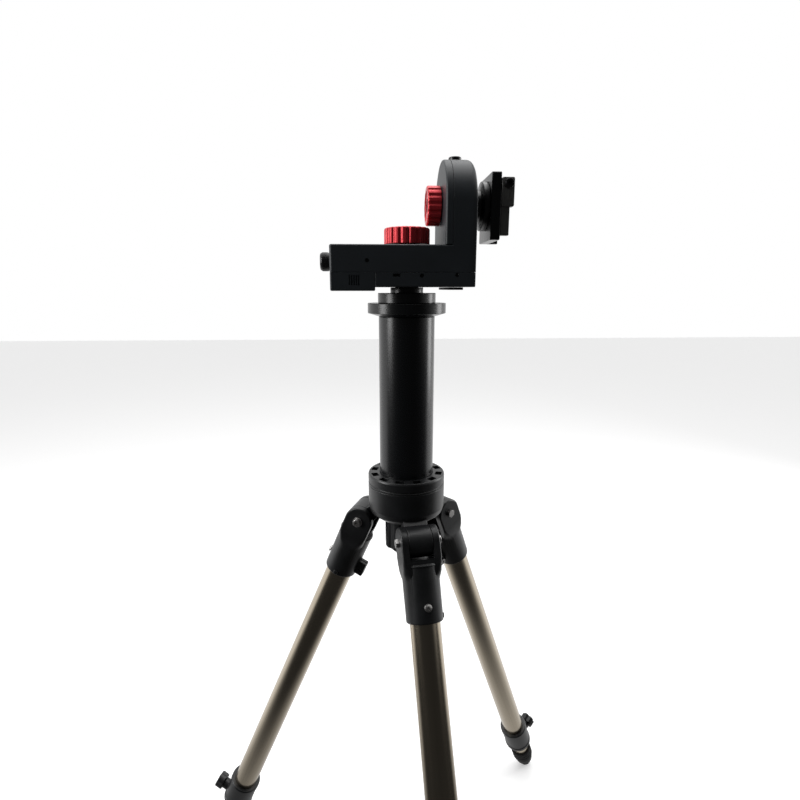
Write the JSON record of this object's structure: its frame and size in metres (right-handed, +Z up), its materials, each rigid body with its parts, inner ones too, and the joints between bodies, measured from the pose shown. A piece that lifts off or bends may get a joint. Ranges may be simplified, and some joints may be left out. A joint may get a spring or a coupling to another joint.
{
  "type": "motorised telescope mount on a tripod",
  "caption": "Motorised alt-azimuth telescope mount head with a dovetail saddle, on a column and a tripod with telescopic steel legs",
  "frame": {"origin": "on the floor, under the centre of the object's bounding box with the legs spread and retracted", "axes": "+Z up along the azimuth axis; -Y is the front; +X points from the base to the arm and saddle, along the altitude axis"},
  "size_m": [0.5819, 0.5536, 1.0657],
  "materials": {
    "housing": "satin charcoal moulding",
    "moulded": "semi-matt black moulding",
    "black_metal": "satin black",
    "red": "red anodised",
    "steel": "polished stainless",
    "grey_metal": "satin grey",
    "brass": "machined",
    "rubber": "matt",
    "board": "circuit board",
    "cell": "shrink sleeve"
  },
  "bodies": {
    "stand": {"hub_body": "moulded", "hub_top_ring": "moulded", "leg_pivot_bolt_1": "steel", "leg_pivot_bolt_2": "steel", "leg_pivot_bolt_3": "steel", "column_tube": "black_metal", "column_flange": "black_metal", "azimuth_post": "black_metal", "azimuth_worm_wheel": "brass", "azimuth_clutch_plate": "steel"},
    "mounting_knob_body": {"mounting_knob": "moulded"},
    "azimuth_knob_body": {"azimuth_clutch_knob": "red"},
    "head": {"base_upper_shell": "housing", "base_lower_shell": "housing", "arm_cover": "housing", "foot_pad": "rubber", "azimuth_bearing_lower": "steel", "azimuth_bearing_upper": "steel", "altitude_bearing_left": "steel", "altitude_bearing_right": "steel", "circuit_board": "board", "usb_socket": "steel", "battery_box": "moulded", "battery_pack": "cell", "level_housing": "moulded", "azimuth_motor": "grey_metal", "altitude_motor": "grey_metal"},
    "azimuth_worm_body": {"azimuth_worm": "steel"},
    "altitude_worm_body": {"altitude_worm": "steel"},
    "battery_cover_body": {"battery_cover": "housing"},
    "end_cap_body": {"end_cap_knob": "moulded"},
    "altitude_group": {"altitude_shaft": "black_metal", "altitude_worm_wheel": "brass", "altitude_clutch_plate": "steel", "saddle_plate": "black_metal", "saddle_clamp_block": "grey_metal"},
    "altitude_knob_body": {"altitude_clutch_knob": "red"},
    "saddle_pad_body": {"saddle_pressure_pad": "brass"},
    "saddle_screw_body": {"saddle_clamp_screw": "steel"},
    "leg_1": {"leg_socket_1": "moulded", "leg_socket_screw_1": "steel", "leg_upper_tube_1": "steel", "leg_clamp_1": "moulded"},
    "lower_leg_1": {"leg_lower_tube_1": "steel", "leg_foot_1": "rubber"},
    "clamp_knob_1": {"leg_clamp_knob_1": "moulded"},
    "leg_2": {"leg_socket_2": "moulded", "leg_socket_screw_2": "steel", "leg_upper_tube_2": "steel", "leg_clamp_2": "moulded"},
    "lower_leg_2": {"leg_lower_tube_2": "steel", "leg_foot_2": "rubber"},
    "clamp_knob_2": {"leg_clamp_knob_2": "moulded"},
    "leg_3": {"leg_socket_3": "moulded", "leg_socket_screw_3": "steel", "leg_upper_tube_3": "steel", "leg_clamp_3": "moulded"},
    "lower_leg_3": {"leg_lower_tube_3": "steel", "leg_foot_3": "rubber"},
    "clamp_knob_3": {"leg_clamp_knob_3": "moulded"}
  },
  "joints": [
    {"name": "mounting_knob_turn", "type": "hinge", "parent": "stand", "child": "mounting_knob_body", "pos_m": [0.02683, 0.05694, 0.623], "axis": [0, 0, -1], "range_deg": [0, 720]},
    {"name": "azimuth_turn", "type": "hinge", "parent": "stand", "child": "head", "pos_m": [0.02683, 0.05694, 0.9368], "axis": [0, 0, 1], "continuous": true},
    {"name": "azimuth_knob_turn", "type": "hinge", "parent": "stand", "child": "azimuth_knob_body", "pos_m": [0.02683, 0.05694, 0.973], "axis": [0, 0, 1], "range_deg": [0, 180]},
    {"name": "azimuth_worm_spin", "type": "hinge", "parent": "head", "child": "azimuth_worm_body", "pos_m": [0.02683, 0.08994, 0.9368], "axis": [1, 0, 0], "continuous": true},
    {"name": "altitude_turn", "type": "hinge", "parent": "head", "child": "altitude_group", "pos_m": [0.08033, 0.05694, 1.0134], "axis": [1, 0, 0], "continuous": true},
    {"name": "altitude_worm_spin", "type": "hinge", "parent": "head", "child": "altitude_worm_body", "pos_m": [0.08033, 0.05694, 0.9804], "axis": [0, 1, 0], "continuous": true},
    {"name": "altitude_knob_turn", "type": "hinge", "parent": "altitude_group", "child": "altitude_knob_body", "pos_m": [0.05683, 0.05694, 1.0134], "axis": [-1, 0, 0], "range_deg": [0, 180]},
    {"name": "battery_cover_slide", "type": "slide", "parent": "head", "child": "battery_cover_body", "axis": [-1, 0, 0], "range_m": [0, 0.047]},
    {"name": "end_cap_turn", "type": "hinge", "parent": "head", "child": "end_cap_body", "pos_m": [-0.06317, 0.05694, 0.9513], "axis": [-1, 0, 0], "range_deg": [0, 720]},
    {"name": "saddle_pad_slide", "type": "slide", "parent": "altitude_group", "child": "saddle_pad_body", "axis": [0, 1, 0], "range_m": [-0.0045, 0]},
    {"name": "saddle_screw_turn", "type": "hinge", "parent": "saddle_pad_body", "child": "saddle_screw_body", "pos_m": [0.13623, 0.03194, 1.033], "axis": [0, 1, 0], "range_deg": [-1620, 0]},
    {"name": "leg_fold_1", "type": "hinge", "parent": "stand", "child": "leg_1", "pos_m": [0.03654, -0.00106, 0.6246], "axis": [0.9863, 0.165, 0], "range_deg": [0, 23.5]},
    {"name": "leg_extend_1", "type": "slide", "parent": "leg_1", "child": "lower_leg_1", "axis": [0.0658, -0.3933, -0.9171], "range_m": [0, 0.3]},
    {"name": "clamp_knob_turn_1", "type": "hinge", "parent": "leg_1", "child": "clamp_knob_1", "pos_m": [0.07524, -0.23231, 0.08536], "axis": [0.1514, -0.9045, 0.3987], "range_deg": [0, 180]},
    {"name": "leg_fold_2", "type": "hinge", "parent": "stand", "child": "leg_2", "pos_m": [0.07221, 0.09434, 0.6246], "axis": [-0.6361, 0.7716, 0], "range_deg": [0, 23.5]},
    {"name": "leg_extend_2", "type": "slide", "parent": "leg_2", "child": "lower_leg_2", "axis": [0.3077, 0.2536, -0.9171], "range_m": [0, 0.3]},
    {"name": "clamp_knob_turn_2", "type": "hinge", "parent": "leg_2", "child": "clamp_knob_2", "pos_m": [0.25312, 0.24348, 0.08536], "axis": [0.7076, 0.5833, 0.3987], "range_deg": [0, 180]},
    {"name": "leg_fold_3", "type": "hinge", "parent": "stand", "child": "leg_3", "pos_m": [-0.02824, 0.07753, 0.6246], "axis": [-0.3502, -0.9367, 0], "range_deg": [0, 23.5]},
    {"name": "leg_extend_3", "type": "slide", "parent": "leg_3", "child": "lower_leg_3", "axis": [-0.3735, 0.1396, -0.9171], "range_m": [0, 0.3]},
    {"name": "clamp_knob_turn_3", "type": "hinge", "parent": "leg_3", "child": "clamp_knob_3", "pos_m": [-0.24786, 0.15964, 0.08536], "axis": [-0.859, 0.3212, 0.3987], "range_deg": [0, 180]}
  ],
  "couplings": [
    {"joint": "azimuth_worm_spin", "follows": "azimuth_turn", "ratio": -36},
    {"joint": "altitude_worm_spin", "follows": "altitude_turn", "ratio": -36},
    {"joint": "saddle_screw_turn", "follows": "saddle_pad_slide", "rad_per_m": 6283.2}
  ]
}
